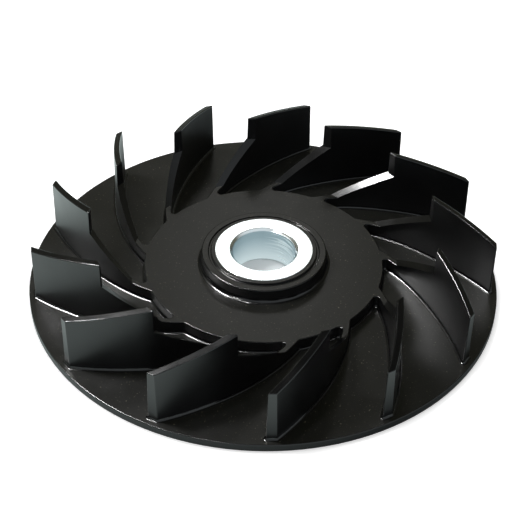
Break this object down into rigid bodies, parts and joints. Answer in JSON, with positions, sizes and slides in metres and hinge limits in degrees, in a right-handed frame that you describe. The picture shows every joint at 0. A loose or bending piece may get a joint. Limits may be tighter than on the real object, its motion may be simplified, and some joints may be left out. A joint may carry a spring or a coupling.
{
  "type": "radial fan impeller",
  "caption": "Radial cooling fan impeller: a black moulded disc with a raised hub, a ring of curved upright blades with low ridges, and a steel bush with a plain bore.",
  "frame": {"origin": "centre of the disc's underside, on the shaft's axis", "axes": "+Z along the shaft's axis, towards the blades' free edges; +X through the outer end of one blade"},
  "size_m": [0.128, 0.128, 0.0222],
  "materials": {
    "moulding": "satin",
    "bush": "turned"
  },
  "bodies": {
    "root": {"fan_moulding": "moulding", "shaft_bush": "bush"}
  },
  "joints": []
}
